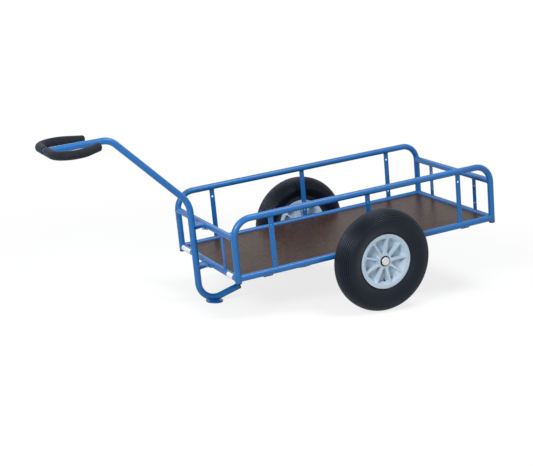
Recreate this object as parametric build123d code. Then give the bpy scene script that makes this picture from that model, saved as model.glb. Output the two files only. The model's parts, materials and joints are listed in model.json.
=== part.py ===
# Platform hand cart: a welded tube frame with a plywood deck, two side hoops, a bolted-on
# bent drawbar with a closed handle, and two air-tyred wheels on one fixed axle.
#
# Every piece is first shaped in the cart's own axes, in millimetres: x runs forward to the
# handle, y to the left, z up from the deck, with the zero point in the middle of the base
# frame, at the height of its tube centres. The whole cart is then leaned forward until its
# wheels and its foot stand on the floor, which is how it is parked.
import math
import os

from build123d import *

# Frame
FRAME_LENGTH = 1170.0          # outside of the front legs to outside of the rear legs
FRAME_WIDTH = 573.0            # outside to outside across the hoops
TUBE_DIAMETER = 25.0
TUBE_WALL = 2.0
HOOP_HEIGHT = 223.0            # base tube centre to hoop top centre
HOOP_BEND_RADIUS = 70.0
END_RAIL_HEIGHT = 155.0
LEG_DROP = 14.5                # legs reach this far below the base tube centres
CAP_THICKNESS = 5.0
CAP_ROUNDING = 1.6
CAP_STEM_LENGTH = 14.0
CAP_STEM_PLAY = 0.15
WELD_GAP = 0.05                # a coped tube stands this far off the tube that it meets
BAR_GAP = 0.1                  # flat bar end to the tube above or below it

# Flat bars of the sides and ends
BAR_WIDTH = 20.0
BAR_THICKNESS = 4.0
BAR_HOLE_DIAMETER = 8.5
BAR_HOLE_INSET = 29.0          # from the tube surface to the hole
SIDE_BAR_SPACING = 417.0
END_BAR_SPACING = 320.0

# Deck and what carries it
DECK_THICKNESS = 12.0
DECK_TOP = 2.0                 # above the base tube centres
DECK_GAP = 1.0                 # between deck edge and tube
BEARER_WIDTH = 40.0
BEARER_HEIGHT = 9.0
BEARER_WALL = 2.0
BEARER_SPACING = 446.0
BEARER_END_INSET = 5.0         # bearer end to base rail centre

# Axle and wheels
AXLE_DIAMETER = 20.0
AXLE_X = -3.0                  # the axle stands a little behind the frame's middle
AXLE_DEPTH = 35.0              # axle centre below the base tube centres
WHEEL_CLEARANCE = 12.5         # between a tyre's side and the frame
TYRE_DIAMETER = 404.0
TYRE_WIDTH = 96.0
CROWN_RADIUS = 105.0           # of the tread's curve from side to side
BULGE_DEPTH = 44.0             # from the tread down to the tyre's widest line
BEAD_RADIUS = 101.6
BEAD_PLAY = 0.1
LIP_HEIGHT = 2.0               # tyre edge above the rim's flange
RIM_WIDTH = 63.0
FLANGE_RADIUS = 107.5
FLANGE_THICKNESS = 3.5
RIM_OPENING_RADIUS = 92.0      # inside of the rim's face ring
WELL_RADIUS = 87.0
WELL_WIDTH = 18.0
WEB_DEPTH = 28.0               # from the rim's face down to the web
WEB_THICKNESS = 5.0
RIB_COUNT = 9
RIB_TIP = 5.0                  # rib width at the rim's face, next to the outer ring
RIB_ROOT = 10.0                # the same next to the hub
RIB_DRAFT = 1.5                # how much wider a rib is at the web
POCKET_DEPTH = 10.0            # how far the well narrows each pocket on its way to the web
POCKET_CORNER = 7.0
POCKET_INNER_CORNER = 4.0
DISH_RADIUS = 97.0             # the outer face is dished inside this radius
DISH_STEP = 1.5                # the dish's edge, below the rim's face
DISH_DEPTH = 9.5               # the dish next to the hub, below the rim's face
HUB_RADIUS = 30.0              # where the pockets begin
HUB_RING_RADIUS = 22.5
HUB_RING_HEIGHT = 1.0          # how far the hub stands above the ribs
HUB_BORE_RADIUS = 19.3
HUB_INNER_REACH = 37.0         # from the wheel's middle to the hub's end on the cart's side
BEARING_INSET = 7.0            # from each end of the hub to the bearing
BEARING_PLAY = 0.08
CAP_RADIUS = 16.5
CAP_DEPTH = 12.5
CAP_CROWN = 2.5                # domed part beyond the axle's end
CAP_EDGE = 2.2                 # rounding of the cap's outer edge
AXLE_STICK_OUT = 27.0          # axle end beyond the middle of the wheel
AXLE_CHAMFER = 1.0
END_PLAY = 0.6
COLLAR_RADIUS = 16.0
COLLAR_LENGTH = 8.0
CARRIER_THICKNESS = 5.0
CARRIER_WIDTH = 60.0
CARRIER_MARGIN = 9.0           # metal around the axle

# Drawbar
DRAWBAR_DIAMETER = 26.0
DRAWBAR_WALL = 2.5
DRAWBAR_STAND_OFF = 53.5       # drawbar centre ahead of the front legs' centres
STEM_HEIGHT = 548.0            # handle and stem above the base tubes
HANDLE_REACH = 1149.0          # front handle tube, ahead of the frame's middle
SLANT_ANGLE = 46.5
TAIL_ANGLE = 13.5
UPPER_BEND_RADIUS = 70.0
MIDDLE_BEND_RADIUS = 100.0
FOOT_BEND_RADIUS = 70.0
SLANT_CORNER_HEIGHT = 251.0    # where the slanted run would meet the upright run
FOOT_CORNER_DEPTH = 165.5      # where the upright run would meet the tail
TAIL_LENGTH = 172.0
FOOT_DIAMETER = 68.0
FOOT_THICKNESS = 5.0
PLUG_THICKNESS = 5.0

# Handle
HANDLE_TUBE_DIAMETER = 25.0
HANDLE_BEND_RADIUS = 71.0
HANDLE_CORNER = 224.0          # half width where the straight runs would meet
HANDLE_DEPTH = 165.0           # from the front run back to the tube's ends
HANDLE_MOUTH = 92.0            # half the distance between the tube's ends
GRIP_THICKNESS = 4.0
GRIP_GAP = 24.0                # bare tube between the two grips
GRIP_END = 7.0                 # closed end beyond the tube
GRIP_END_ROUNDING = 6.0
GRIP_PLAY = 0.1

# Clamps between drawbar and frame
CLAMP_WIDTH = 56.0             # along the frame's cross tube
CLAMP_NECK = 26.0              # the same at the drawbar
CLAMP_THICKNESS = 5.0
UPPER_CLAMP_LIFT = 7.0         # plate top above the end rail's middle
SADDLE_WRAP = 8.0              # how far the saddle reaches past the tube's middle
GUSSET_WIDTH = 8.0
GUSSET_DEPTH = 23.0            # below the plate's top, at the drawbar
GUSSET_END_DEPTH = 18.0        # the same at the frame's end
BOLT_OFFSET = 14.5             # each bolt beside the gusset
BOLT_HEAD_RADIUS = 8.5         # over the hexagon's corners
BOLT_HEAD_HEIGHT = 6.5
WASHER_RADIUS = 9.5
WASHER_THICKNESS = 1.6

# Worked out from the sizes above
TUBE_RADIUS = TUBE_DIAMETER / 2
LEG_X = FRAME_LENGTH / 2 - TUBE_RADIUS
RAIL_Y = FRAME_WIDTH / 2 - TUBE_RADIUS
DECK_BOTTOM = DECK_TOP - DECK_THICKNESS
AXLE_RADIUS = AXLE_DIAMETER / 2
AXLE_Z = -AXLE_DEPTH
WHEEL_Y = FRAME_WIDTH / 2 + WHEEL_CLEARANCE + TYRE_WIDTH / 2
TYRE_RADIUS = TYRE_DIAMETER / 2
DRAWBAR_RADIUS = DRAWBAR_DIAMETER / 2
DRAWBAR_X = LEG_X + DRAWBAR_STAND_OFF
HANDLE_RADIUS = HANDLE_TUBE_DIAMETER / 2
HANDLE_END_X = HANDLE_REACH - HANDLE_DEPTH


def ring(radius, wall):
    """The section of a tube."""
    return Circle(radius) - Circle(radius - wall)


def swept(path, section):
    """A section carried along a path from the path's start."""
    start = Plane(origin=path @ 0, z_dir=path % 0)
    return sweep(start * section, path=path)


def rod(start, end, radius):
    """A round bar between two points."""
    axis = Vector(*end) - Vector(*start)
    return extrude(Plane(origin=start, z_dir=axis) * Circle(radius), axis.length)


def tube(start, end, radius, wall):
    """A straight tube between two points."""
    axis = Vector(*end) - Vector(*start)
    return extrude(Plane(origin=start, z_dir=axis) * ring(radius, wall), axis.length)


def box_between(low, high):
    """A box from its lowest to its highest corner."""
    size = [h - l for l, h in zip(low, high)]
    middle = [(h + l) / 2 for l, h in zip(low, high)]
    return Pos(*middle) * Box(*size)


def mirrored_y(shape):
    """The same piece on the other side of the cart."""
    return mirror(shape, about=Plane.XZ)


# Side hoops: one bent tube each, from front leg to rear leg
def hoop_path(side):
    y = side * RAIL_Y
    return FilletPolyline(
        (LEG_X, y, -LEG_DROP),
        (LEG_X, y, HOOP_HEIGHT),
        (-LEG_X, y, HOOP_HEIGHT),
        (-LEG_X, y, -LEG_DROP),
        radius=HOOP_BEND_RADIUS,
    )


def side_hoop(side):
    return swept(hoop_path(side), ring(TUBE_RADIUS, TUBE_WALL))


def hoop_cutter(side):
    """A hoop's outside, a weld gap larger, for coping what meets it."""
    return swept(hoop_path(side), Circle(TUBE_RADIUS + WELD_GAP))


def base_rail(side):
    y = side * RAIL_Y
    rail = tube((-LEG_X, y, 0), (LEG_X, y, 0), TUBE_RADIUS, TUBE_WALL)
    for x in (-LEG_X, LEG_X):
        rail -= rod((x, y, -LEG_DROP), (x, y, TUBE_DIAMETER), TUBE_RADIUS + WELD_GAP)
    return rail


def rail_cutter(side):
    y = side * RAIL_Y
    return rod((-LEG_X, y, 0), (LEG_X, y, 0), TUBE_RADIUS + WELD_GAP)


def cross_tube(end, height, cutters):
    """A tube from hoop to hoop, coped round whatever it meets."""
    x = end * LEG_X
    body = tube((x, -RAIL_Y, height), (x, RAIL_Y, height), TUBE_RADIUS, TUBE_WALL)
    for cutter in cutters:
        body -= cutter
    return body


def flat_bar(low, high, along_x):
    """An upright flat bar with a hole near each end, centred on the z axis."""
    size_x = BAR_WIDTH if along_x else BAR_THICKNESS
    size_y = BAR_THICKNESS if along_x else BAR_WIDTH
    bar = box_between(
        (-size_x / 2, -size_y / 2, low + BAR_GAP),
        (size_x / 2, size_y / 2, high - BAR_GAP),
    )
    for z in (low + BAR_HOLE_INSET, high - BAR_HOLE_INSET):
        if along_x:
            bar -= rod((0, -BAR_THICKNESS, z), (0, BAR_THICKNESS, z), BAR_HOLE_DIAMETER / 2)
        else:
            bar -= rod((-BAR_THICKNESS, 0, z), (BAR_THICKNESS, 0, z), BAR_HOLE_DIAMETER / 2)
    return bar


def side_bars(side):
    """Three bars between a base rail and the hoop above it."""
    bars = []
    for x in (-SIDE_BAR_SPACING, 0, SIDE_BAR_SPACING):
        bar = flat_bar(TUBE_RADIUS, HOOP_HEIGHT - TUBE_RADIUS, True)
        bars.append(Pos(x, side * RAIL_Y, 0) * bar)
    return Compound(bars)


def end_bars(end):
    """Two bars between a base cross tube and the end rail above it."""
    bars = []
    for y in (-END_BAR_SPACING / 2, END_BAR_SPACING / 2):
        bar = flat_bar(TUBE_RADIUS, END_RAIL_HEIGHT - TUBE_RADIUS, False)
        bars.append(Pos(end * LEG_X, y, 0) * bar)
    return Compound(bars)


def leg_caps():
    """Plastic plugs in the open lower ends of the four legs."""
    cap = Pos(0, 0, -LEG_DROP - CAP_THICKNESS / 2) * Cylinder(TUBE_RADIUS, CAP_THICKNESS)
    cap = fillet(cap.edges().group_by(Axis.Z)[0], CAP_ROUNDING)
    stem_radius = TUBE_RADIUS - TUBE_WALL - CAP_STEM_PLAY
    cap += Pos(0, 0, -LEG_DROP + CAP_STEM_LENGTH / 2) * Cylinder(stem_radius, CAP_STEM_LENGTH)
    corners = [(x, y) for x in (-LEG_X, LEG_X) for y in (-RAIL_Y, RAIL_Y)]
    return Compound([Pos(x, y, 0) * cap for x, y in corners])


# Deck and bearers
def deck():
    half_x = LEG_X - TUBE_RADIUS - DECK_GAP
    half_y = RAIL_Y - TUBE_RADIUS - DECK_GAP
    return box_between((-half_x, -half_y, DECK_BOTTOM), (half_x, half_y, DECK_TOP))


def bearer(x):
    """A flat box tube under the deck, welded to the undersides of both base rails."""
    half_y = RAIL_Y - BEARER_END_INSET
    top = DECK_BOTTOM
    body = box_between(
        (x - BEARER_WIDTH / 2, -half_y, top - BEARER_HEIGHT), (x + BEARER_WIDTH / 2, half_y, top)
    )
    body = fillet(body.edges().filter_by(Axis.Y), BEARER_WALL)
    body -= box_between(
        (x - BEARER_WIDTH / 2 + BEARER_WALL, -half_y, top - BEARER_HEIGHT + BEARER_WALL),
        (x + BEARER_WIDTH / 2 - BEARER_WALL, half_y, top - BEARER_WALL),
    )
    for side in (-1, 1):
        body -= rail_cutter(side)
    return body


# Axle
def axle():
    end = WHEEL_Y + AXLE_STICK_OUT
    shaft = rod((AXLE_X, -end, AXLE_Z), (AXLE_X, end, AXLE_Z), AXLE_RADIUS)
    return chamfer(shaft.edges().filter_by(GeomType.CIRCLE), AXLE_CHAMFER)


def axle_carrier(side):
    """A plate under a base rail that the axle passes through."""
    y = side * RAIL_Y
    foot_radius = AXLE_RADIUS + CARRIER_MARGIN
    outline = make_hull(
        [
            Line((AXLE_X - CARRIER_WIDTH / 2, 0), (AXLE_X + CARRIER_WIDTH / 2, 0)),
            *(Pos(AXLE_X, AXLE_Z) * Circle(foot_radius)).edges(),
        ]
    )
    outer_face = Plane(origin=(0, y - CARRIER_THICKNESS / 2, 0), x_dir=(1, 0, 0), z_dir=(0, -1, 0))
    plate = extrude(outer_face * outline, -CARRIER_THICKNESS)
    plate -= rail_cutter(side)
    bore = (AXLE_X, y - TUBE_DIAMETER, AXLE_Z), (AXLE_X, y + TUBE_DIAMETER, AXLE_Z)
    plate -= rod(*bore, AXLE_RADIUS + WELD_GAP)
    return plate


def axle_collars():
    """Rings welded to the axle inside each wheel, which keep the hubs in place."""
    outer = WHEEL_Y - HUB_INNER_REACH - END_PLAY
    inner = outer - COLLAR_LENGTH
    collars = []
    for side in (-1, 1):
        reach = (AXLE_X, side * inner, AXLE_Z), (AXLE_X, side * outer, AXLE_Z)
        collars.append(rod(*reach, COLLAR_RADIUS) - rod(*reach, AXLE_RADIUS + WELD_GAP))
    return Compound(collars)


def axle_cap(side):
    """A domed push-on cap that holds the wheel on the axle's end."""
    end = side * (WHEEL_Y + AXLE_STICK_OUT)
    inner = end - side * (CAP_DEPTH - CAP_CROWN)
    outer = end + side * CAP_CROWN
    cap = rod((AXLE_X, inner, AXLE_Z), (AXLE_X, outer, AXLE_Z), CAP_RADIUS)
    rim_edge = cap.edges().filter_by(GeomType.CIRCLE).sort_by(Axis.Y)[-1 if side > 0 else 0]
    cap = fillet(rim_edge, CAP_EDGE)
    return cap - rod((AXLE_X, inner, AXLE_Z), (AXLE_X, end, AXLE_Z), AXLE_RADIUS + WELD_GAP)


# Wheels, shaped about the y axis with the outer face to +y
def pocket_outline(widen, outer_radius):
    """The space between two ribs, with its inner end next to the hub, in the wheel's plane."""
    half_pitch = math.pi / RIB_COUNT
    inner_radius = HUB_RADIUS + widen
    corners = []
    for reach, width in ((inner_radius, RIB_ROOT), (outer_radius, RIB_TIP)):
        across = width / 2 + widen
        x = reach * math.cos(half_pitch) + across * math.sin(half_pitch)
        y = reach * math.sin(half_pitch) - across * math.cos(half_pitch)
        corners.append((x, y))
    (x0, y0), (x1, y1) = corners
    slope = (y1 - y0) / (x1 - x0)
    far = outer_radius + POCKET_CORNER
    far_y = y0 + slope * (far - x0)
    wedge = make_face(Polyline((x0, -y0), (far, -far_y), (far, far_y), (x0, y0), (x0, -y0)))
    outline = wedge & Circle(outer_radius)
    by_x = outline.vertices().sort_by(Axis.X)
    outline = fillet(by_x[:2], POCKET_INNER_CORNER)
    return fillet(outline.vertices().sort_by(Axis.X)[-2:], POCKET_CORNER)


def pocket(face, web):
    """A moulded pocket from one face of the rim down to the web, narrower at the web."""
    planes = [
        Plane(origin=(0, y, 0), x_dir=(1, 0, 0), z_dir=(0, 1 if face > web else -1, 0))
        for y in (face, web)
    ]
    top = planes[0] * pocket_outline(0, RIM_OPENING_RADIUS)
    bottom = planes[1] * pocket_outline(RIB_DRAFT / 2, RIM_OPENING_RADIUS - POCKET_DEPTH)
    return loft([top, bottom])


def rim():
    """A moulded rim: bead seats, drop centre and hub, with pockets between ribs on both faces.

    The ribs of the two faces are staggered by half a pitch. The outer face is dished.
    """
    half = RIM_WIDTH / 2
    seat = BEAD_RADIUS - BEAD_PLAY
    web_top = half - WEB_DEPTH
    web_bottom = web_top - WEB_THICKNESS
    dish = half - DISH_DEPTH
    hub = (0, -HUB_INNER_REACH, 0), (0, dish + HUB_RING_HEIGHT, 0)
    blank = make_face(
        Polyline(
            (0, dish),
            (HUB_RING_RADIUS, dish),
            (DISH_RADIUS, half - DISH_STEP),
            (DISH_RADIUS, half),
            (FLANGE_RADIUS, half),
            (FLANGE_RADIUS, half - FLANGE_THICKNESS),
            (seat, half - FLANGE_THICKNESS),
            (seat, WELL_WIDTH),
            (WELL_RADIUS, WELL_WIDTH / 2),
            (WELL_RADIUS, -WELL_WIDTH / 2),
            (seat, -WELL_WIDTH),
            (seat, -half + FLANGE_THICKNESS),
            (FLANGE_RADIUS, -half + FLANGE_THICKNESS),
            (FLANGE_RADIUS, -half),
            (0, -half),
            (0, dish),
        )
    )
    body = revolve(blank, axis=Axis.Y)
    front = pocket(half, web_top)
    back = pocket(-half, web_bottom)
    pitch = 360 / RIB_COUNT
    body -= [Rot(0, pitch * index, 0) * front for index in range(RIB_COUNT)]
    body -= [Rot(0, pitch * (index + 0.5), 0) * back for index in range(RIB_COUNT)]
    body += rod(*hub, HUB_RING_RADIUS)
    return body - rod(*hub, HUB_BORE_RADIUS)


def tyre():
    """A round-shouldered tyre that sits on the rim's bead seats, between its flanges.

    Each half of its section is three arcs that run into each other: the tread, the shoulder
    round to the widest line, and the side wall down to the rim's flange.
    """
    foot = RIM_WIDTH / 2 - FLANGE_THICKNESS - BEAD_PLAY
    lip = FLANGE_RADIUS + LIP_HEIGHT
    side = TYRE_WIDTH / 2
    bulge = TYRE_RADIUS - BULGE_DEPTH
    rise = CROWN_RADIUS - BULGE_DEPTH
    shoulder = (CROWN_RADIUS**2 - side**2 - rise**2) / (2 * (CROWN_RADIUS - side))
    reach = CROWN_RADIUS / (CROWN_RADIUS - shoulder)
    tread_edge = ((side - shoulder) * reach, TYRE_RADIUS - CROWN_RADIUS + rise * reach)
    outline = Polyline((-foot, lip), (-foot, BEAD_RADIUS), (foot, BEAD_RADIUS), (foot, lip)).edges()
    for sign in (1, -1):
        crown = (0, TYRE_RADIUS), (sign * tread_edge[0], tread_edge[1])
        outline += TangentArc(*crown, tangent=(sign, 0)).edges()
        outline += TangentArc((sign * side, bulge), crown[1], tangent=(0, 1)).edges()
        outline += TangentArc((sign * side, bulge), (sign * foot, lip), tangent=(0, -1)).edges()
    section = make_face(outline)
    turned = Plane(origin=(0, 0, 0), x_dir=(0, 1, 0), z_dir=(1, 0, 0)) * section
    return revolve(turned, axis=Axis.Y)


def bearing():
    """The roller cage pressed into the hub."""
    outer = RIM_WIDTH / 2 - DISH_DEPTH + HUB_RING_HEIGHT - BEARING_INSET
    reach = (0, BEARING_INSET - HUB_INNER_REACH, 0), (0, outer, 0)
    cage = rod(*reach, HUB_BORE_RADIUS - WELD_GAP)
    return cage - rod(*reach, AXLE_RADIUS + BEARING_PLAY)


def on_axle(shape, side):
    """A wheel piece moved to its end of the axle, its outer face outwards."""
    facing = shape if side > 0 else mirrored_y(shape)
    return Pos(AXLE_X, side * WHEEL_Y, AXLE_Z) * facing


# Drawbar, in the middle plane of the cart
def drawbar_corners():
    """The points where the drawbar's straight runs would meet, from handle to tail."""
    slope = math.tan(math.radians(SLANT_ANGLE))
    upper_x = DRAWBAR_X + (STEM_HEIGHT - SLANT_CORNER_HEIGHT) / slope
    tail = math.radians(TAIL_ANGLE)
    return [
        (HANDLE_REACH, 0, STEM_HEIGHT),
        (upper_x, 0, STEM_HEIGHT),
        (DRAWBAR_X, 0, SLANT_CORNER_HEIGHT),
        (DRAWBAR_X, 0, -FOOT_CORNER_DEPTH),
        (
            DRAWBAR_X - TAIL_LENGTH * math.cos(tail),
            0,
            -FOOT_CORNER_DEPTH + TAIL_LENGTH * math.sin(tail),
        ),
    ]


def drawbar_path():
    radii = [UPPER_BEND_RADIUS, MIDDLE_BEND_RADIUS, FOOT_BEND_RADIUS]
    return FilletPolyline(*drawbar_corners(), radius=radii)


def foot_bend_centre():
    """The centre of the drawbar's lowest bend."""
    tangent = FOOT_BEND_RADIUS * math.tan(math.radians(90 + TAIL_ANGLE) / 2)
    return DRAWBAR_X - FOOT_BEND_RADIUS, -FOOT_CORNER_DEPTH + tangent


def parking_tilt():
    """How far the cart leans forward, in degrees, standing on its tyres and its foot."""
    foot_x, foot_z = foot_bend_centre()
    foot_reach = FOOT_BEND_RADIUS + DRAWBAR_RADIUS + FOOT_THICKNESS
    span = math.hypot(foot_x - AXLE_X, foot_z - AXLE_Z)
    rise = math.atan2(foot_z - AXLE_Z, foot_x - AXLE_X)
    return math.degrees(rise + math.asin((TYRE_RADIUS - foot_reach) / span))


def handle_path():
    return FilletPolyline(
        (HANDLE_END_X, -HANDLE_MOUTH, STEM_HEIGHT),
        (HANDLE_REACH, -HANDLE_CORNER, STEM_HEIGHT),
        (HANDLE_REACH, HANDLE_CORNER, STEM_HEIGHT),
        (HANDLE_END_X, HANDLE_MOUTH, STEM_HEIGHT),
        radius=HANDLE_BEND_RADIUS,
    )


def handle_bar():
    return swept(handle_path(), ring(HANDLE_RADIUS, TUBE_WALL))


def drawbar():
    body = swept(drawbar_path(), ring(DRAWBAR_RADIUS, DRAWBAR_WALL))
    reach = (HANDLE_REACH, HANDLE_CORNER, STEM_HEIGHT)
    body -= rod((HANDLE_REACH, -HANDLE_CORNER, STEM_HEIGHT), reach, HANDLE_RADIUS + WELD_GAP)
    return body


def drawbar_outside(reach):
    """The drawbar's outside, grown by a margin, for coping what meets it."""
    return swept(drawbar_path(), Circle(DRAWBAR_RADIUS + reach))


def drawbar_foot():
    """A disc welded under the lowest bend, flat on the floor when the cart is parked."""
    tilt = math.radians(parking_tilt())
    centre_x, centre_z = foot_bend_centre()
    down = (math.sin(tilt), -math.cos(tilt))
    reach = FOOT_BEND_RADIUS + DRAWBAR_RADIUS
    start = (centre_x + down[0] * reach, 0, centre_z + down[1] * reach)
    end = (start[0] + down[0] * FOOT_THICKNESS, 0, start[2] + down[1] * FOOT_THICKNESS)
    return rod(start, end, FOOT_DIAMETER / 2)


def drawbar_plug():
    """A plastic plug in the open end of the tail."""
    tail = math.radians(TAIL_ANGLE)
    back = (-math.cos(tail), math.sin(tail))
    end = drawbar_corners()[-1]
    outer = (end[0] + back[0] * PLUG_THICKNESS, 0, end[2] + back[1] * PLUG_THICKNESS)
    inner = (end[0] - back[0] * CAP_STEM_LENGTH, 0, end[2] - back[1] * CAP_STEM_LENGTH)
    plug = rod(end, outer, DRAWBAR_RADIUS)
    return plug + rod(inner, end, DRAWBAR_RADIUS - DRAWBAR_WALL - CAP_STEM_PLAY)


def grip(side):
    """A foam sleeve over one half of the handle, closed at its free end."""
    path = FilletPolyline(
        (HANDLE_REACH, side * GRIP_GAP / 2, STEM_HEIGHT),
        (HANDLE_REACH, side * HANDLE_CORNER, STEM_HEIGHT),
        (HANDLE_END_X, side * HANDLE_MOUTH, STEM_HEIGHT),
        radius=HANDLE_BEND_RADIUS,
    )
    inner = HANDLE_RADIUS + GRIP_PLAY
    outer = HANDLE_RADIUS + GRIP_THICKNESS
    sleeve = swept(path, Circle(outer) - Circle(inner))
    end = path @ 1
    away = path % 1
    tip = end + away * GRIP_END
    cap = rod(tuple(end), tuple(tip), outer)
    cap = fillet(cap.faces().sort_by_distance(tip)[0].edges(), GRIP_END_ROUNDING)
    stem = (HANDLE_END_X, 0, STEM_HEIGHT), (HANDLE_REACH, 0, STEM_HEIGHT)
    return sleeve + cap - rod(*stem, DRAWBAR_RADIUS + GRIP_PLAY)


# Clamps that hold the drawbar to the end rail and to the base cross tube
def clamp(height, lift):
    """A flared plate welded to the drawbar, its saddle bolted up under a cross tube.

    A gusset stiffens the plate from below. lift is how far the plate's top lies above the
    cross tube's middle.
    """
    top = height + lift
    half = CLAMP_WIDTH / 2
    neck = CLAMP_NECK / 2
    flare_x = LEG_X + TUBE_RADIUS
    outline = Polyline(
        (LEG_X, -half),
        (flare_x, -half),
        (DRAWBAR_X, -neck),
        (DRAWBAR_X, neck),
        (flare_x, half),
        (LEG_X, half),
        (LEG_X, -half),
    )
    plate = extrude(Pos(0, 0, top) * make_face(outline), -CLAMP_THICKNESS)
    saddle_radius = TUBE_RADIUS + WELD_GAP
    saddle = rod((LEG_X, -half, height), (LEG_X, half, height), saddle_radius + CLAMP_THICKNESS)
    reach = 2 * TUBE_DIAMETER
    saddle -= box_between((LEG_X - reach, -half, top), (LEG_X + reach, half, top + reach))
    saddle -= box_between(
        (LEG_X - reach, -half, height - reach), (LEG_X - SADDLE_WRAP, half, height + reach)
    )
    side = Polyline(
        (flare_x, top - CLAMP_THICKNESS / 2),
        (DRAWBAR_X, top - CLAMP_THICKNESS / 2),
        (DRAWBAR_X, top - GUSSET_DEPTH),
        (flare_x, top - GUSSET_END_DEPTH),
        (flare_x, top - CLAMP_THICKNESS / 2),
    )
    gusset = extrude(Plane.XZ * make_face(side), GUSSET_WIDTH / 2, both=True)
    body = plate + saddle + gusset
    body -= rod((LEG_X, -RAIL_Y, height), (LEG_X, RAIL_Y, height), saddle_radius)
    return body - drawbar_outside(WELD_GAP)


def clamp_bolts():
    """A screw head with its washer under each clamp's saddle, beside the gusset."""
    heads = []
    for height in (END_RAIL_HEIGHT, 0):
        seat = height - TUBE_RADIUS - WELD_GAP - CLAMP_THICKNESS
        under = seat - WASHER_THICKNESS
        washer = rod((LEG_X, -BOLT_OFFSET, under), (LEG_X, -BOLT_OFFSET, seat), WASHER_RADIUS)
        head = Pos(LEG_X, -BOLT_OFFSET, under) * extrude(
            RegularPolygon(BOLT_HEAD_RADIUS, 6), -BOLT_HEAD_HEIGHT
        )
        heads.append(washer + head)
    return Compound(heads)


def all_pieces():
    """Every piece by name, in the cart's own axes."""
    end_rail_cutters = [hoop_cutter(-1), hoop_cutter(1)]
    base_cutters = end_rail_cutters + [rail_cutter(-1), rail_cutter(1)]
    pieces = {
        "side_hoop_left": side_hoop(1),
        "side_hoop_right": side_hoop(-1),
        "base_rail_left": base_rail(1),
        "base_rail_right": base_rail(-1),
        "base_cross_front": cross_tube(1, 0, base_cutters),
        "base_cross_rear": cross_tube(-1, 0, base_cutters),
        "end_rail_front": cross_tube(1, END_RAIL_HEIGHT, end_rail_cutters),
        "end_rail_rear": cross_tube(-1, END_RAIL_HEIGHT, end_rail_cutters),
        "side_bars_left": side_bars(1),
        "side_bars_right": side_bars(-1),
        "end_bars_front": end_bars(1),
        "end_bars_rear": end_bars(-1),
        "leg_caps": leg_caps(),
        "deck": deck(),
        "bearer_front": bearer(BEARER_SPACING),
        "bearer_middle": bearer(0),
        "bearer_rear": bearer(-BEARER_SPACING),
        "axle": axle(),
        "axle_carrier_left": axle_carrier(1),
        "axle_carrier_right": axle_carrier(-1),
        "axle_collars": axle_collars(),
        "axle_cap_left": axle_cap(1),
        "axle_cap_right": axle_cap(-1),
        "drawbar": drawbar(),
        "drawbar_foot": drawbar_foot(),
        "drawbar_plug": drawbar_plug(),
        "handle_bar": handle_bar(),
        "grip_left": grip(1),
        "grip_right": grip(-1),
        "clamp_upper": clamp(END_RAIL_HEIGHT, UPPER_CLAMP_LIFT),
        "clamp_lower": clamp(0, 0),
        "clamp_bolts": clamp_bolts(),
    }
    for name, side in (("left", 1), ("right", -1)):
        pieces["rim_" + name] = on_axle(rim(), side)
        pieces["tyre_" + name] = on_axle(tyre(), side)
        pieces["bearing_" + name] = on_axle(bearing(), side)
    return pieces


def parked(pieces):
    """The cart leaned onto its foot, with the zero point on the floor below its middle."""
    lean = Rot(0, parking_tilt(), 0)
    leaned = {name: lean * piece for name, piece in pieces.items()}
    bounds = [piece.bounding_box() for piece in leaned.values()]
    front = max(b.max.X for b in bounds)
    rear = min(b.min.X for b in bounds)
    floor = min(b.min.Z for b in bounds)
    shift = Pos(-(front + rear) / 2, 0, -floor)
    return {name: shift * piece for name, piece in leaned.items()}


if __name__ == "__main__":
    os.makedirs("parts", exist_ok=True)
    for name, piece in parked(all_pieces()).items():
        export_step(piece, "parts/" + name + ".step")
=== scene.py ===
# Looks of the platform hand cart: materials, weld beads, ribbed tyres, clamp screws, blank
# labels and the wheels' small parts, with the photograph's camera, a pale floor and soft
# studio light. Lengths are in metres.
import bisect
import json
import math

import bmesh
import bpy
from mathutils import Matrix, Vector, noise


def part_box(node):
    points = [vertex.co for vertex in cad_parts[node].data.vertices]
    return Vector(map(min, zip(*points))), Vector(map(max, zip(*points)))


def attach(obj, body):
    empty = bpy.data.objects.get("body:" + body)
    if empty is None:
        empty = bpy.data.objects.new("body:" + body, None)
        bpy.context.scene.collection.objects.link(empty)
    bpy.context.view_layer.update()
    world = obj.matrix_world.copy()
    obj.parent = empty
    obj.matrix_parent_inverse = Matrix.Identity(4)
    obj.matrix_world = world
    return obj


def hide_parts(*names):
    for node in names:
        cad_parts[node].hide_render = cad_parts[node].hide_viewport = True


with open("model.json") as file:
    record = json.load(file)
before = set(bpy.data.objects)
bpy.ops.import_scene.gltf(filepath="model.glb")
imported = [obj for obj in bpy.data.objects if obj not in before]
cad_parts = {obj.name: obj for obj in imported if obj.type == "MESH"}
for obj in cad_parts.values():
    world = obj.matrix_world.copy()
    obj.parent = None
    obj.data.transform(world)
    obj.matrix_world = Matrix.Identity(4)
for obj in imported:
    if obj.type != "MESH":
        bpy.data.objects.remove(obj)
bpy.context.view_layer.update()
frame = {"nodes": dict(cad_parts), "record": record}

# The cart's own sizes, as in the solid model. Its axes: x forward from the middle of the base
# frame, y to the left, z up from the base tubes' centres.
TUBE_R = 0.0125
LEG_X = 0.5725
RAIL_Y = 0.274
HOOP_Z = 0.223
END_RAIL_Z = 0.155
AXLE_X = -0.003
AXLE_Z = -0.035
SIDE_BAR_X = 0.417
END_BAR_Y = 0.160
WHEEL_Y = 0.347
TYRE_R = 0.202
TYRE_HALF = 0.048
TYRE_FOOT = 0.0279
SEAT_R = 0.1016
RIM_HALF = 0.0315
DISH_DEPTH = 0.0095
HUB_RING_HEIGHT = 0.001
HUB_BORE_R = 0.0193
CAP_R = 0.0165
BEARER_X = 0.446
DRAWBAR_R = 0.013
STEM_Z = 0.548
HANDLE_X = 1.149
CLAMP_THICK = 0.005
SCREW_Y = 0.0145
WELD_GAP = 0.00005
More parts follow.
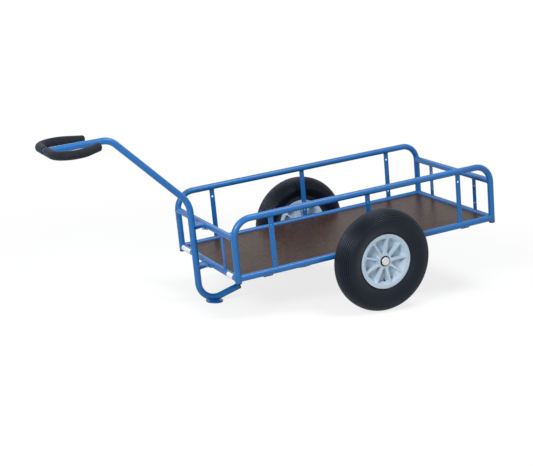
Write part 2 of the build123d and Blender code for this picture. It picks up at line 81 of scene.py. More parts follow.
TILT = math.radians(7.467347)


def axle_middle():
    """Where the wheels' common axis crosses the middle plane, measured on the solids."""
    low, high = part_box("tyre_left")
    return Vector(((low[0] + high[0]) / 2, 0, (low[2] + high[2]) / 2))


LEAN = Matrix.Rotation(TILT, 4, "Y")
PARK = Matrix.Translation(axle_middle() - (LEAN @ Vector((AXLE_X, 0, AXLE_Z)))) @ LEAN


def parked(point):
    """A point of the cart's own axes, where it is when the cart stands on its foot."""
    return PARK @ Vector(point)


# Colours, sRGB from 0 to 255
PAINT_BLUE = (12, 97, 165)
FILM_DARK, FILM_LIGHT = (36, 24, 20), (80, 58, 51)
PLY_DARK, PLY_LIGHT = (122, 84, 52), (176, 134, 92)
RUBBER_DARK, RUBBER_LIGHT = (9, 12, 22), (13, 17, 30)
FOAM_DARK, FOAM_LIGHT = (19, 22, 31), (27, 31, 41)
ZINC_DARK, ZINC_LIGHT = (190, 193, 196), (222, 224, 224)
RIM_GREY = (186, 204, 219)
PLASTIC_BLACK = (17, 18, 20)
LABEL_WHITE = (232, 236, 242)


# Materials
def new_material(name):
    """A Principled material with its nodes, its links and its shader."""
    material = bpy.data.materials.new(name)
    material.use_nodes = True
    nodes = material.node_tree.nodes
    return material, nodes, material.node_tree.links, nodes["Principled BSDF"]


def linear(colour):
    """An sRGB colour, 0 to 255, as linear values."""
    out = []
    for value in colour:
        value /= 255
        out.append(value / 12.92 if value <= 0.04045 else ((value + 0.055) / 1.055) ** 2.4)
    return out


def ramp(nodes, links, source, low, dark, high, light):
    """From the linear colour dark, where source is low, to light, where it is high."""
    node = nodes.new("ShaderNodeValToRGB")
    for element, place, colour in zip(node.color_ramp.elements, (low, high), (dark, light)):
        element.position = place
        element.color = (*colour, 1)
    links.new(source, node.inputs["Fac"])
    return node.outputs["Color"]


def noise_node(nodes, links, coords, scale, detail, roughness=0.5, stretch=None):
    """Cloudy noise, finer with scale and narrower along the axes that stretch raises."""
    node = nodes.new("ShaderNodeTexNoise")
    node.inputs["Scale"].default_value = scale
    node.inputs["Detail"].default_value = detail
    node.inputs["Roughness"].default_value = roughness
    source = coords
    if stretch:
        mapping = nodes.new("ShaderNodeMapping")
        mapping.inputs["Scale"].default_value = stretch
        links.new(coords, mapping.inputs["Vector"])
        source = mapping.outputs["Vector"]
    links.new(source, node.inputs["Vector"])
    return node.outputs["Fac"]


def object_coords(nodes):
    """The coordinates in a piece's own axes."""
    return nodes.new("ShaderNodeTexCoord").outputs["Object"]


def bump(nodes, links, height, distance):
    """A normal raised by height, which goes from 0 to 1, times distance."""
    node = nodes.new("ShaderNodeBump")
    node.inputs["Distance"].default_value = distance
    links.new(height, node.inputs["Height"])
    return node.outputs["Normal"]


def scaled(colour, factor):
    """A linear colour made darker or lighter by factor, up to full white."""
    return [min(1.0, value * factor) for value in colour]


def multiplied(nodes, links, colour, by, share):
    """One colour times another, mixed in by share."""
    mix = nodes.new("ShaderNodeMix")
    mix.data_type = "RGBA"
    mix.blend_type = "MULTIPLY"
    mix.inputs["Factor"].default_value = share
    links.new(colour, mix.inputs["A"])
    links.new(by, mix.inputs["B"])
    return mix.outputs["Result"]


def levelled(nodes, links, vector):
    """A vector turned from the leaning cart to the axes of its own frame."""
    node = nodes.new("ShaderNodeVectorRotate")
    node.rotation_type = "Y_AXIS"
    node.inputs["Angle"].default_value = -TILT
    links.new(vector, node.inputs["Vector"])
    return node.outputs["Vector"]


def rough_range(nodes, links, source, low, high):
    """A roughness that goes from low to high with source."""
    node = nodes.new("ShaderNodeMapRange")
    node.inputs["To Min"].default_value = low
    node.inputs["To Max"].default_value = high
    links.new(source, node.inputs["Value"])
    return node.outputs["Result"]


def powder_paint():
    """Blue powder paint with a faint peel."""
    material, nodes, links, shader = new_material("blue_powder_paint")
    coords = object_coords(nodes)
    blue = linear(PAINT_BLUE)
    cloud = noise_node(nodes, links, coords, 9.0, 3.0)
    colour = ramp(nodes, links, cloud, 0.3, scaled(blue, 0.93), 0.7, scaled(blue, 1.07))
    links.new(colour, shader.inputs["Base Color"])
    peel = noise_node(nodes, links, coords, 900.0, 2.0)
    links.new(rough_range(nodes, links, cloud, 0.32, 0.37), shader.inputs["Roughness"])
    links.new(bump(nodes, links, peel, 0.000008), shader.inputs["Normal"])
    shader.inputs["Specular IOR Level"].default_value = 0.48
    return material


def film_colour(nodes, links, flat, speck):
    """Brown film: fine specks with faint clouds and the face veneer's grain."""
    cloud = noise_node(nodes, links, flat, 7.0, 4.0)
    grain = noise_node(nodes, links, flat, 26.0, 5.0, 0.6, (1.0, 6.0, 1.0))
    specks = ramp(nodes, links, speck, 0.40, linear(FILM_DARK), 0.60, linear(FILM_LIGHT))
    tone = ramp(nodes, links, cloud, 0.3, (0.88, 0.88, 0.88), 0.7, (1.0, 1.0, 1.0))
    veins = ramp(nodes, links, grain, 0.35, (0.75, 0.73, 0.72), 0.65, (1.0, 1.0, 1.0))
    toned = multiplied(nodes, links, specks, tone, 1.0)
    return multiplied(nodes, links, toned, veins, 0.35)


def ply_colour(nodes, links, flat):
    """Bands across the panel's thickness."""
    waves = nodes.new("ShaderNodeTexWave")
    waves.bands_direction = "Z"
    waves.inputs["Scale"].default_value = 110.0
    waves.inputs["Distortion"].default_value = 1.2
    waves.inputs["Detail Scale"].default_value = 3.0
    links.new(flat, waves.inputs["Vector"])
    bands = waves.outputs["Color"]
    return ramp(nodes, links, bands, 0.25, linear(PLY_DARK), 0.6, linear(PLY_LIGHT))


def edge_mask(nodes, links):
    """1 on the panel's upright edges, 0 on its two faces."""
    geometry = nodes.new("ShaderNodeNewGeometry")
    facing = nodes.new("ShaderNodeSeparateXYZ")
    links.new(levelled(nodes, links, geometry.outputs["Normal"]), facing.inputs["Vector"])
    upright = nodes.new("ShaderNodeMath")
    upright.operation = "ABSOLUTE"
    links.new(facing.outputs["Z"], upright.inputs[0])
    is_edge = nodes.new("ShaderNodeMath")
    is_edge.operation = "LESS_THAN"
    is_edge.inputs[1].default_value = 0.5
    links.new(upright.outputs["Value"], is_edge.inputs[0])
    return is_edge.outputs["Value"]


def deck_film():
    """Brown phenolic film on both faces, the plies showing at the cut edges."""
    material, nodes, links, shader = new_material("film_faced_plywood")
    flat = levelled(nodes, links, object_coords(nodes))
    speck = noise_node(nodes, links, flat, 110.0, 5.0, 0.72)
    final = nodes.new("ShaderNodeMix")
    final.data_type = "RGBA"
    links.new(edge_mask(nodes, links), final.inputs["Factor"])
    links.new(film_colour(nodes, links, flat, speck), final.inputs["A"])
    links.new(ply_colour(nodes, links, flat), final.inputs["B"])
    links.new(final.outputs["Result"], shader.inputs["Base Color"])
    links.new(rough_range(nodes, links, speck, 0.30, 0.42), shader.inputs["Roughness"])
    links.new(bump(nodes, links, speck, 0.00015), shader.inputs["Normal"])
    shader.inputs["Specular IOR Level"].default_value = 0.09
    return material


def tyre_rubber():
    """Dull black rubber with a bluish sheen."""
    material, nodes, links, shader = new_material("tyre_rubber")
    coords = object_coords(nodes)
    fine = noise_node(nodes, links, coords, 900.0, 3.0)
    cloud = noise_node(nodes, links, coords, 14.0, 4.0)
    colour = ramp(nodes, links, cloud, 0.3, linear(RUBBER_DARK), 0.7, linear(RUBBER_LIGHT))
    links.new(colour, shader.inputs["Base Color"])
    links.new(rough_range(nodes, links, cloud, 0.30, 0.36), shader.inputs["Roughness"])
    links.new(bump(nodes, links, fine, 0.00003), shader.inputs["Normal"])
    shader.inputs["Specular IOR Level"].default_value = 0.28
    shader.inputs["Specular Tint"].default_value = (0.70, 0.84, 1.0, 1)
    return material


def foam():
    """Matt closed-cell foam with fine pores."""
    material, nodes, links, shader = new_material("grip_foam")
    coords = object_coords(nodes)
    pores = nodes.new("ShaderNodeTexVoronoi")
    pores.inputs["Scale"].default_value = 900.0
    links.new(coords, pores.inputs["Vector"])
    cloud = noise_node(nodes, links, coords, 60.0, 4.0)
    colour = ramp(nodes, links, cloud, 0.3, linear(FOAM_DARK), 0.7, linear(FOAM_LIGHT))
    links.new(colour, shader.inputs["Base Color"])
    shader.inputs["Roughness"].default_value = 0.85
    shader.inputs["Specular IOR Level"].default_value = 0.25
    shader.inputs["Sheen Weight"].default_value = 0.05
    links.new(bump(nodes, links, pores.outputs["Distance"], 0.0002), shader.inputs["Normal"])
    return material


def moulded(name, colour, low, high):
    """Moulded plastic, its roughness between low and high."""
    material, nodes, links, shader = new_material(name)
    coords = object_coords(nodes)
    cloud = noise_node(nodes, links, coords, 12.0, 3.0)
    base = linear(colour)
    tone = ramp(nodes, links, cloud, 0.3, scaled(base, 0.96), 0.7, scaled(base, 1.03))
    links.new(tone, shader.inputs["Base Color"])
    links.new(rough_range(nodes, links, cloud, low, high), shader.inputs["Roughness"])
    fine = noise_node(nodes, links, coords, 700.0, 2.0)
    links.new(bump(nodes, links, fine, 0.00003), shader.inputs["Normal"])
    return material


def zinc():
    """Zinc-plated steel."""
    material, nodes, links, shader = new_material("zinc_plate")
    coords = object_coords(nodes)
    cloud = noise_node(nodes, links, coords, 160.0, 4.0)
    shader.inputs["Metallic"].default_value = 1.0
    colour = ramp(nodes, links, cloud, 0.3, linear(ZINC_DARK), 0.7, linear(ZINC_LIGHT))
    links.new(colour, shader.inputs["Base Color"])
    links.new(rough_range(nodes, links, cloud, 0.24, 0.40), shader.inputs["Roughness"])
    links.new(bump(nodes, links, cloud, 0.00003), shader.inputs["Normal"])
    return material


PAINT = powder_paint()
FILM = deck_film()
RUBBER = tyre_rubber()
FOAM = foam()
RIM = moulded("rim_plastic", RIM_GREY, 0.40, 0.50)
BLACK = moulded("black_plastic", PLASTIC_BLACK, 0.40, 0.50)
LABEL = moulded("label_film", LABEL_WHITE, 0.30, 0.36)
ZINC = zinc()

# The solids in the white_plastic slot are the bearings' cages, which are dark in the photograph.
SLOT_MATERIAL = {
    "blue_paint": PAINT,
    "plywood": FILM,
    "rim_plastic": RIM,
    "tyre": RUBBER,
    "foam": FOAM,
    "black_plastic": BLACK,
    "white_plastic": BLACK,
    "zinc_steel": ZINC,
}
slot_of = {part["node"]: part["material_slot"] for part in frame["record"]["subparts"]}
for node, thing in frame["nodes"].items():
    for place in thing.material_slots:
        place.material = SLOT_MATERIAL[slot_of[node]]


# Mesh helpers
def mesh_piece(name, build, material, body="chassis", smooth=True):
    """A piece whose mesh build makes, riding on body."""
    mesh = bpy.data.meshes.new(name)
    bm = bmesh.new()
    build(bm)
    bm.to_mesh(mesh)
    bm.free()
    mesh.materials.append(material)
    for face in mesh.polygons:
        face.use_smooth = smooth
    piece = bpy.data.objects.new(name, mesh)
    bpy.context.scene.collection.objects.link(piece)
    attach(piece, body)
    return piece


def grid_faces(bm, rows, close_rows=False, close_columns=False):
    """Quads between rows of vertices."""
    count = len(rows)
    width = len(rows[0])
    for i in range(count if close_rows else count - 1):
        for j in range(width if close_columns else width - 1):
            a = rows[i][j]
            b = rows[i][(j + 1) % width]
            c = rows[(i + 1) % count][(j + 1) % width]
            d = rows[(i + 1) % count][j]
            bm.faces.new((a, b, c, d))


TUBE_BEAD = 0.0018
BAR_BEAD = 0.0024
PLATE_BEAD = 0.0020
RIPPLE = 0.22
RIPPLE_PITCH = 0.0035
LUMP = 0.12
LUMPS_PER_METRE = 180
BEAD_CORNERS = 8
# A direction that no bead runs along
BEAD_SKEW = Vector((0.123, 0.456, 0.881))
ALONG_X = Vector((1, 0, 0))
ALONG_Y = Vector((0, 1, 0))
ALONG_Z = Vector((0, 0, 1))


def bead(bm, points, radius, seed, closed=True):
    """A weld bead along points: a thin round ridge with ripples, sunk half into the joint."""
    count = len(points)
    rows = []
    travelled = 0.0
    for i, point in enumerate(points):
        before = points[i - 1] if closed or i > 0 else points[i]
        after = points[(i + 1) % count] if closed or i < count - 1 else points[i]
        along = (after - before).normalized()
        side = along.cross(BEAD_SKEW).normalized()
        up = along.cross(side).normalized()
        if i > 0:
            travelled += (point - points[i - 1]).length
        wave = 1 + RIPPLE * math.sin(travelled / RIPPLE_PITCH * 2 * math.pi)
        lump = 1 + LUMP * noise.noise(point * LUMPS_PER_METRE + Vector((seed, 0, 0)))
        size = radius * wave * lump
        if not closed:
            # an open bead thins out over its last two points
            size *= min(1.0, 0.55 + 0.45 * min(i, count - 1 - i) / 2)
        ring = []
        for k in range(BEAD_CORNERS):
            turn = 2 * math.pi * k / BEAD_CORNERS
            ring.append(bm.verts.new(point + size * (math.cos(turn) * side + math.sin(turn) * up)))
        rows.append(ring)
    grid_faces(bm, rows, close_rows=closed, close_columns=True)
    if not closed:
        bm.faces.new(rows[0][::-1])
        bm.faces.new(rows[-1])


def tube_joint(centre, along, main_axis, tube_radius, main_radius):
    """The line where a tube meets a main tube's side, on the standing cart.

    centre is where the two axes cross, along points away down the tube, main_axis is the
    main tube's direction.
    """
    across = main_axis.cross(along).normalized()
    up = along.cross(across).normalized()
    count = 96
    points = []
    for k in range(count):
        turn = 2 * math.pi * k / count
        sideways = tube_radius * math.sin(turn)
        reach = math.sqrt(max(0.0, main_radius**2 - sideways**2))
        local = across * sideways + up * tube_radius * math.cos(turn) + along * reach
        points.append(parked(Vector(centre) + local))
    return points


def straight(start, end, count):
    """Evenly spaced points from start to end, count in all."""
    return [start.lerp(end, k / (count - 1)) for k in range(count)]


def line_about(middle, axis, half, count):
    """A straight line on the standing cart, half to each side of middle along axis."""
    return straight(parked(middle - axis * half), parked(middle + axis * half), count)


# Weld beads, painted over with the frame
def weld_loops(bm):
    """Beads round the tubes' ends at the four legs, and round the stem's end at the handle."""
    seed = 0
    for end in (-1, 1):
        for side in (-1, 1):
            corner = (end * LEG_X, side * RAIL_Y, 0)
            high = (end * LEG_X, side * RAIL_Y, END_RAIL_Z)
            for centre, along in (
                (corner, -end * ALONG_X),
                (corner, -side * ALONG_Y),
                (high, -side * ALONG_Y),
            ):
                seed += 1
                line = tube_joint(centre, along, ALONG_Z, TUBE_R, TUBE_R)
                bead(bm, line, TUBE_BEAD, seed)
    stem = tube_joint((HANDLE_X, 0, STEM_Z), -ALONG_X, ALONG_Y, DRAWBAR_R, TUBE_R)
    bead(bm, stem, TUBE_BEAD, 31)


BAR_HALF_THICK = 0.002
BAR_WELD_HALF = 0.010
BAR_WELD_OUT = 0.003
BAR_WELD_SINK = 0.0004
BAR_WELD_LEVEL = math.sqrt(TUBE_R**2 - BAR_HALF_THICK**2) - BAR_WELD_SINK


def bar_beads(bm):
    """A fillet along both faces of each flat bar, at its foot and its top."""
    seed = 60
    bars = []
    for side in (-1, 1):
        for x in (-SIDE_BAR_X, 0, SIDE_BAR_X):
            bars.append((Vector((x, side * RAIL_Y, 0)), HOOP_Z, ALONG_X, ALONG_Y))
    for end in (-1, 1):
        for y in (-END_BAR_Y, END_BAR_Y):
            bars.append((Vector((end * LEG_X, y, 0)), END_RAIL_Z, ALONG_Y, ALONG_X))
    for foot, rise, along, out in bars:
        for level in (BAR_WELD_LEVEL, rise - BAR_WELD_LEVEL):
            for face in (-1, 1):
                seed += 1
                middle = foot + out * face * BAR_WELD_OUT + ALONG_Z * level
                line = line_about(middle, along, BAR_WELD_HALF, 14)
                bead(bm, line, BAR_BEAD, seed, closed=False)


UNDER_WELD_Z = -0.0122
PLATE_WELD_HALF = 0.024
PLATE_WELD_OUT = 0.0036
BEARER_WELD_HALF = 0.019
BEARER_WELD_IN = 0.0052
FOOT_WELD_HALF = 0.016
FOOT_WELD_OUT = 0.0065
FOOT_WELD_LIFT = 0.001


def under_beads(bm):
    """Beads at the axle's plates, the bearers' ends and the foot."""
    seed = 200
    for side in (-1, 1):
        for face in (-1, 1):
            seed += 1
            middle = Vector((AXLE_X, side * RAIL_Y + face * PLATE_WELD_OUT, UNDER_WELD_Z))
            line = line_about(middle, ALONG_X, PLATE_WELD_HALF, 26)
            bead(bm, line, PLATE_BEAD, seed, closed=False)
        for x in (-BEARER_X, 0, BEARER_X):
            seed += 1
            middle = Vector((x, side * (RAIL_Y - BEARER_WELD_IN), UNDER_WELD_Z))
            line = line_about(middle, ALONG_X, BEARER_WELD_HALF, 24)
            bead(bm, line, TUBE_BEAD, seed, closed=False)
    low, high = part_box("drawbar_foot")
    top = Vector(((low[0] + high[0]) / 2, 0, high[2] + FOOT_WELD_LIFT))
    for face in (-1, 1):
        middle = top + ALONG_Y * face * FOOT_WELD_OUT
        half = ALONG_X * FOOT_WELD_HALF
        line = straight(middle - half, middle + half, 22)
        bead(bm, line, BAR_BEAD, 250 + face, closed=False)


mesh_piece("weld_beads_frame", weld_loops, PAINT)
mesh_piece("weld_beads_bars", bar_beads, PAINT)
mesh_piece("weld_beads_under", under_beads, PAINT)


# Tyres: fine rounded ribs round the tread and shoulders, smooth side walls
CROWN_R = 0.105
BULGE_R = TYRE_R - 0.044
LIP_R = 0.1095
RIB_PITCH = 0.0078
RIB_DEPTH = 0.0032
RIB_POINTS = (0.0, 0.03, 0.10, 0.25, 0.5, 0.75, 0.90, 0.97)
# Towards the side walls the last ribs grow shallower, over this many ribs
RIB_FADE = 2.2
WALL_POINTS = 14
# One fine line round each side wall, by its share of the way from the bulge to the lip
WALL_LINE_AT = 0.78
WALL_LINE_WIDTH = 0.05
WALL_LINE_DEPTH = 0.0007
ARC_STEPS = 400
TYRE_STEPS = 200
NEARLY = 1e-9


def smooth_tyre():
    """(across, radius) points of the plain tyre: three arcs from the crown to the lip."""
    rise = CROWN_R - (TYRE_R - BULGE_R)
    shoulder = (CROWN_R**2 - TYRE_HALF**2 - rise**2) / (2 * (CROWN_R - TYRE_HALF))
    centre = TYRE_HALF - shoulder
    meet = math.atan2(centre, BULGE_R - (TYRE_R - CROWN_R))
    points = []
    for k in range(ARC_STEPS + 1):
        turn = meet * k / ARC_STEPS
        points.append((CROWN_R * math.sin(turn), TYRE_R - CROWN_R + CROWN_R * math.cos(turn)))
    for k in range(1, ARC_STEPS + 1):
        turn = meet + (math.pi / 2 - meet) * k / ARC_STEPS
        points.append((centre + shoulder * math.sin(turn), BULGE_R + shoulder * math.cos(turn)))
    inset, drop = TYRE_HALF - TYRE_FOOT, BULGE_R - LIP_R
    wall_r = (inset**2 + drop**2) / (2 * inset)
    last = math.asin(drop / wall_r)
    for k in range(1, ARC_STEPS + 1):
        turn = last * k / ARC_STEPS
        across = TYRE_HALF - wall_r * (1 - math.cos(turn))
        points.append((across, BULGE_R - wall_r * math.sin(turn)))
    return points


def on_line(points, lengths, length):
    """The point this far along the line of points, and the direction out of it."""
    high = min(bisect.bisect_right(lengths, length), len(lengths) - 1)
    low = high - 1
    share = (length - lengths[low]) / (lengths[high] - lengths[low])
    a, b = points[low], points[high]
    size = math.dist(a, b)
    along = ((b[0] - a[0]) / size, (b[1] - a[1]) / size)
    point = (a[0] + (b[0] - a[0]) * share, a[1] + (b[1] - a[1]) * share)
    return point, (-along[1], along[0])


def tyre_section():
    """(across, radius) points from the crown to the lip, with the ribs pressed in."""
    smooth = smooth_tyre()
    lengths = [0.0]
    for a, b in zip(smooth, smooth[1:]):
        lengths.append(lengths[-1] + math.dist(a, b))
    bulge_at = lengths[2 * ARC_STEPS]
    rest = lengths[-1] - bulge_at
    ribs = round(bulge_at / RIB_PITCH)
    pitch = bulge_at / ribs
    places = [(rib + share) * pitch for rib in range(ribs) for share in RIB_POINTS]
    places += [bulge_at + rest * k / WALL_POINTS for k in range(WALL_POINTS + 1)]
    half = []
    for length in places:
        point, out = on_line(smooth, lengths, min(length, lengths[-1] - NEARLY))
        if length < bulge_at - NEARLY:
            phase = (length / pitch) % 1
            fade = min(1.0, (bulge_at - length) / (RIB_FADE * pitch))
            into = RIB_DEPTH * (1 - math.sqrt(1 - (2 * phase - 1) ** 2)) * fade
        else:
            off_line = ((length - bulge_at) / rest - WALL_LINE_AT) / WALL_LINE_WIDTH
            into = WALL_LINE_DEPTH * math.exp(-(off_line**2))
        half.append((point[0] - out[0] * into, point[1] - out[1] * into))
    return half


def ribbed_tyre(side):
    """The tyre's mesh, standing on its axle."""
    half = tyre_section()
    section = [(-x, r) for x, r in reversed(half[1:])] + half
    section = [(-TYRE_FOOT, SEAT_R)] + section + [(TYRE_FOOT, SEAT_R)]
    hub = axle_middle() + Vector((0, side * WHEEL_Y, 0))

    def build(bm):
        rows = []
        for k in range(TYRE_STEPS):
            turn = 2 * math.pi * k / TYRE_STEPS
            rows.append(
                [
                    bm.verts.new(hub + Vector((r * math.cos(turn), x, r * math.sin(turn))))
                    for x, r in section
                ]
            )
        grid_faces(bm, rows, close_rows=True, close_columns=True)
        bmesh.ops.recalc_face_normals(bm, faces=bm.faces)

    return build


for name, side in (("left", 1), ("right", -1)):
    skin = mesh_piece(
        "ribbed_tyre_" + name, ribbed_tyre(side), RUBBER, body="wheel_" + name
    )
    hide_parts("tyre_" + name)


# Blank labels on the front base tube, from y to y and wrapped over part of its round
LABEL_SPANS = ((-0.252, -0.165), (0.195, 0.245))
LABEL_FROM = math.radians(-62)
LABEL_TO = math.radians(68)
LABEL_THICK = 0.00025
LABEL_STEPS = 12


def labels(bm):
    """Thin sheets wrapped round the front of the tube."""
    size = TUBE_R + LABEL_THICK
    for span in LABEL_SPANS:
        rows = []
        for k in range(LABEL_STEPS + 1):
            turn = LABEL_FROM + (LABEL_TO - LABEL_FROM) * k / LABEL_STEPS
            x = LEG_X + size * math.cos(turn)
            z = size * math.sin(turn)
            rows.append([bm.verts.new(parked((x, y, z))) for y in span])
        grid_faces(bm, rows)
    bmesh.ops.recalc_face_normals(bm, faces=bm.faces)


mesh_piece("blank_labels", labels, LABEL)


# Round things turned about an axis: valves, washers and dark rings
# A direction that no turned piece's axis has
TURNED_SKEW = Vector((0.31, 0.52, 0.79))


def turned(bm, origin, axis, profile, steps):
    """A profile of (along, radius) points turned about an axis.

    A profile that comes back to its first point makes a ring, any other a capped solid.
    """
    axis = axis.normalized()
    side = axis.cross(TURNED_SKEW).normalized()
    up = axis.cross(side).normalized()
    rows = []
    for along, radius in profile:
        ring = []
        for k in range(steps):
            turn = 2 * math.pi * k / steps
            place = origin + axis * along
            place += radius * (math.cos(turn) * side + math.sin(turn) * up)
            ring.append(bm.verts.new(place))
        rows.append(ring)
    if profile[0] == profile[-1]:
        bmesh.ops.delete(bm, geom=rows.pop(), context="VERTS")
        grid_faces(bm, rows, close_rows=True, close_columns=True)
    else:
        grid_faces(bm, rows, close_columns=True)
        bm.faces.new(rows[0][::-1])
        bm.faces.new(rows[-1])
    bmesh.ops.recalc_face_normals(bm, faces=bm.faces)


# The clamps' screws: washer and hexagon head
WASHER_R = 0.0095
WASHER_HOLE_R = 0.0042
WASHER_THICK = 0.0016
WASHER_EDGE = 0.0004
HEAD_R = 0.0085
HEAD_H = 0.0065
HEAD_BEVEL = 0.0007
SCREW_STEPS = 48


def hexagon(bm, origin, radius, height, bevel):
    """A screw's hexagon head hanging down from origin, its lower corners turned off."""
    rows = []
    for drop, limit in ((0, radius), (height - bevel, radius), (height, radius - 2 * bevel)):
        ring = []
        for k in range(SCREW_STEPS):
            turn = 2 * math.pi * k / SCREW_STEPS
            flat = math.cos(math.pi / 6) / math.cos((turn % (math.pi / 3)) - math.pi / 6)
            reach = min(limit, radius * flat)
            place = Vector(origin) + Vector((reach * math.cos(turn), reach * math.sin(turn), -drop))
            ring.append(bm.verts.new(parked(place)))
        rows.append(ring)
    grid_faces(bm, rows, close_columns=True)
    bm.faces.new(rows[0][::-1])
    bm.faces.new(rows[-1])
    bmesh.ops.recalc_face_normals(bm, faces=bm.faces)


def clamp_screws(bm):
    """A washer and a hexagon head under each clamp's saddle."""
    for level in (END_RAIL_Z, 0):
        seat = level - TUBE_R - WELD_GAP - CLAMP_THICK
        origin = (LEG_X, -SCREW_Y, seat)
        down = parked((LEG_X, -SCREW_Y, seat - 1)) - parked(origin)
        washer = [
            (0, WASHER_HOLE_R),
            (0, WASHER_R - WASHER_EDGE),
            (WASHER_EDGE, WASHER_R),
            (WASHER_THICK - WASHER_EDGE, WASHER_R),
            (WASHER_THICK, WASHER_R - WASHER_EDGE),
            (WASHER_THICK, WASHER_HOLE_R),
        ]
        turned(bm, parked(origin), down, washer, SCREW_STEPS)
        hexagon(bm, (LEG_X, -SCREW_Y, seat - WASHER_THICK), HEAD_R, HEAD_H, HEAD_BEVEL)


screws = mesh_piece("clamp_screws", clamp_screws, ZINC, smooth=False)
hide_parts("clamp_bolts")


def in_wheel(side, x, y, z):
    """A point given from the wheel's middle, y outwards, in the cart's axes."""
    return parked((AXLE_X + x, side * (WHEEL_Y + y), AXLE_Z + z))


# The valve, from the wheel's middle: its foot in a pocket of the rim, and its tip
VALVE_FOOT = (-0.001, 0.0065, -0.0830)
VALVE_TIP = (-0.005, 0.0105, -0.0725)
VALVE_NECK_R = 0.0031
KNURL_R = 0.0037
KNURL_DEPTH = 0.0002
VALVE_STEPS = 32
# The dark band round the axle's cap, outwards from the wheel's middle
DARK_BAND_R = 0.0169
DARK_BAND_FROM = 0.0155
DARK_BAND_TO = 0.0268
ROUND_STEPS = 72


def valve_stem(side):
    """A short rubber stem, leaning outwards from the pocket's wall."""
    foot, tip = in_wheel(side, *VALVE_FOOT), in_wheel(side, *VALVE_TIP)
    profile = [
        (-0.002, 0.0042),
        (0.0012, 0.0042),
        (0.0022, 0.0038),
        (0.0035, 0.0033),
        (0.55 * (tip - foot).length, VALVE_NECK_R),
    ]
    return lambda bm: turned(bm, foot, tip - foot, profile, VALVE_STEPS)


def valve_cap(side):
    """The stem's metal cap, with a knurled skirt."""
    foot, tip = in_wheel(side, *VALVE_FOOT), in_wheel(side, *VALVE_TIP)
    length = (tip - foot).length
    profile = [(0.50 * length - 0.0004, VALVE_NECK_R)]
    profile += [((0.50 + 0.05 * k) * length, KNURL_R + KNURL_DEPTH * (k % 2)) for k in range(9)]
    profile += [(0.95 * length, 0.0035), (length, 0.0028)]
    return lambda bm: turned(bm, foot, tip - foot, profile, VALVE_STEPS)


def round_axle(side, profile):
    """A ring about the wheel's axis, its profile as (outwards from the middle, radius)."""
    hub = in_wheel(side, 0, 0, 0)
    outwards = in_wheel(side, 0, 1, 0) - hub
    return lambda bm: turned(bm, hub, outwards, profile, ROUND_STEPS)


def hub_dark_ring(side):
    """A dark ring in the hub's mouth, with a lip over the hub's ring, round the axle's cap."""
    face = RIM_HALF - DISH_DEPTH + HUB_RING_HEIGHT
    bore = HUB_BORE_R - WELD_GAP
    inner = 0.0172
    back = face - 0.0045
    profile = [
        (back, inner),
        (face - 0.0030, inner),
        (face - 0.0022, 0.0178),
        (face - 0.0018, 0.0188),
        (face + 0.0004, 0.0196),
        (face + 0.0007, 0.0203),
        (face + 0.0006, 0.0208),
        (face + WELD_GAP, 0.0210),
        (face + WELD_GAP, bore),
        (back, bore),
        (back, inner),
    ]
    return round_axle(side, profile)


def cap_dark_band(side):
    """A black band round the axle cap's skirt, below its bright dome."""
    inner = CAP_R + WELD_GAP
    profile = [
        (DARK_BAND_FROM, inner),
        (DARK_BAND_FROM, DARK_BAND_R),
        (DARK_BAND_TO - 0.0006, DARK_BAND_R),
        (DARK_BAND_TO, inner),
        (DARK_BAND_FROM, inner),
    ]
    return round_axle(side, profile)


for name, side in (("left", 1), ("right", -1)):
    wheel = "wheel_" + name
    mesh_piece("cap_dark_band_" + name, cap_dark_band(side), BLACK)
    mesh_piece("valve_stem_" + name, valve_stem(side), RUBBER, body=wheel)
    mesh_piece("valve_cap_" + name, valve_cap(side), ZINC, body=wheel)
    mesh_piece("hub_dark_ring_" + name, hub_dark_ring(side), BLACK, body=wheel)


# Camera as solved from the photograph, in the cart's axes
CAMERA_AT = (2.25726, 4.26385, 1.43238)
CAMERA_RIGHT = (-0.89435886, 0.43749265, -0.09339383)
CAMERA_UP = (-0.20430647, -0.21372959, 0.95528977)
CAMERA_BACK = (0.39797122, 0.87345283, 0.28053353)
FOCAL_PIXELS = 1228.31
PHOTO_WIDTH = 533
SENSOR = 36.0
FARTHEST = 60

camera_data = bpy.data.cameras.new("camera")
camera_data.sensor_fit = "HORIZONTAL"
camera_data.sensor_width = SENSOR
camera_data.lens = FOCAL_PIXELS * SENSOR / PHOTO_WIDTH
camera_data.clip_end = FARTHEST
camera = bpy.data.objects.new("camera", camera_data)
bpy.context.scene.collection.objects.link(camera)
turn = LEAN.to_3x3()
axes = [turn @ Vector(axis) for axis in (CAMERA_RIGHT, CAMERA_UP, CAMERA_BACK)]
pose = Matrix([[axes[j][i] for j in range(3)] for i in range(3)]).to_4x4()
pose.translation = parked(CAMERA_AT)
camera.matrix_world = pose
bpy.context.scene.camera = camera


# Floor, sky and lamps
FLOOR_HALF = 20
# What the camera sees of the floor: mostly even light, and a share that takes shadows
FLOOR_GLOW = 0.79
FLOOR_SHADED = (0.22, 0.22, 0.22, 1)
# Away from the cart it fades to plain white, between these distances from the origin
FADE_FROM = 1.1
FADE_TO = 2.2
# What the floor gives back to the cart, and the sky's light on it
FLOOR_BOUNCE = (0.52, 0.52, 0.525, 1)
SKY = (0.95, 0.975, 1.0, 1)
SKY_STRENGTH = 0.40
WHITE = (1, 1, 1, 1)


def seen_directly(nodes, links):
    """1 for rays that show the background: the camera's, and those mirrored or let through."""
    path = nodes.new("ShaderNodeLightPath")
    value = path.outputs["Is Camera Ray"]
    for name in ("Is Glossy Ray", "Is Transmission Ray"):
        either = nodes.new("ShaderNodeMath")
        either.operation = "MAXIMUM"
        links.new(value, either.inputs[0])
        links.new(path.outputs[name], either.inputs[1])
        value = either.outputs["Value"]
    return value


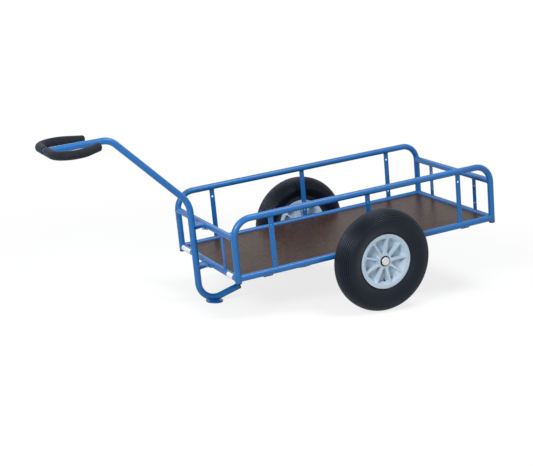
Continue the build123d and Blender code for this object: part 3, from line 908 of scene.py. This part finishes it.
def shader_of(nodes, kind, colour, strength=None):
    """What a new shader node of this kind gives, with this colour and strength."""
    node = nodes.new(kind)
    node.inputs["Color"].default_value = colour
    if strength is not None:
        node.inputs["Strength"].default_value = strength
    return node.outputs[0]


def mixed(nodes, links, share, first, second):
    """The shader first where share is 0, second where it is 1."""
    node = nodes.new("ShaderNodeMixShader")
    links.new(share, node.inputs["Fac"])
    links.new(first, node.inputs[1])
    links.new(second, node.inputs[2])
    return node.outputs["Shader"]


def distance_fade(nodes, links):
    """0 near the origin and 1 far from it."""
    coords = nodes.new("ShaderNodeTexCoord")
    length = nodes.new("ShaderNodeVectorMath")
    length.operation = "LENGTH"
    links.new(coords.outputs["Object"], length.inputs[0])
    fade = nodes.new("ShaderNodeMapRange")
    fade.interpolation_type = "SMOOTHSTEP"
    fade.inputs["From Min"].default_value = FADE_FROM
    fade.inputs["From Max"].default_value = FADE_TO
    links.new(length.outputs["Value"], fade.inputs["Value"])
    return fade.outputs["Result"]


def floor_material():
    """A pale floor: white where it is lit, and a light grey where the cart shades it."""
    material = bpy.data.materials.new("floor")
    material.use_nodes = True
    nodes = material.node_tree.nodes
    links = material.node_tree.links
    nodes.clear()
    pale = nodes.new("ShaderNodeAddShader")
    links.new(shader_of(nodes, "ShaderNodeBsdfDiffuse", FLOOR_SHADED), pale.inputs[0])
    links.new(shader_of(nodes, "ShaderNodeEmission", WHITE, FLOOR_GLOW), pale.inputs[1])
    white = shader_of(nodes, "ShaderNodeEmission", WHITE, 1.0)
    bounce = shader_of(nodes, "ShaderNodeBsdfDiffuse", FLOOR_BOUNCE)
    shown = mixed(nodes, links, distance_fade(nodes, links), pale.outputs["Shader"], white)
    out = nodes.new("ShaderNodeOutputMaterial")
    surface = mixed(nodes, links, seen_directly(nodes, links), bounce, shown)
    links.new(surface, out.inputs["Surface"])
    return material


floor_mesh = bpy.data.meshes.new("floor")
corners = [(x * FLOOR_HALF, y * FLOOR_HALF, 0) for x, y in ((-1, -1), (1, -1), (1, 1), (-1, 1))]
floor_mesh.from_pydata(corners, [], [(0, 1, 2, 3)])
floor_mesh.materials.append(floor_material())
floor = bpy.data.objects.new("floor", floor_mesh)
bpy.context.scene.collection.objects.link(floor)

world = bpy.data.worlds.new("studio")
bpy.context.scene.world = world
world.use_nodes = True
nodes = world.node_tree.nodes
links = world.node_tree.links
nodes.clear()
lit = shader_of(nodes, "ShaderNodeBackground", SKY, SKY_STRENGTH)
shown = shader_of(nodes, "ShaderNodeBackground", WHITE, 1.0)
out = nodes.new("ShaderNodeOutputWorld")
links.new(mixed(nodes, links, seen_directly(nodes, links), lit, shown), out.inputs["Surface"])


def lamp(name, place, aim, width, height, watts):
    """A soft rectangular lamp at place, turned to aim."""
    data = bpy.data.lights.new(name, "AREA")
    data.shape = "RECTANGLE"
    data.size = width
    data.size_y = height
    data.energy = watts
    thing = bpy.data.objects.new(name, data)
    bpy.context.scene.collection.objects.link(thing)
    thing.location = place
    thing.rotation_euler = (Vector(aim) - Vector(place)).to_track_quat("-Z", "Y").to_euler()


lamp("key", (2.9, 2.4, 2.1), (-0.2, 0, 0.25), 1.0, 1.0, 120)
lamp("top", (-0.8, 1.0, 3.3), (-0.2, 0, 0.2), 1.4, 1.4, 52)
lamp("back", (0.4, -3.4, 2.6), (0, 0, 0.3), 2.0, 1.0, 12)

bpy.context.scene.view_settings.view_transform = "Standard"
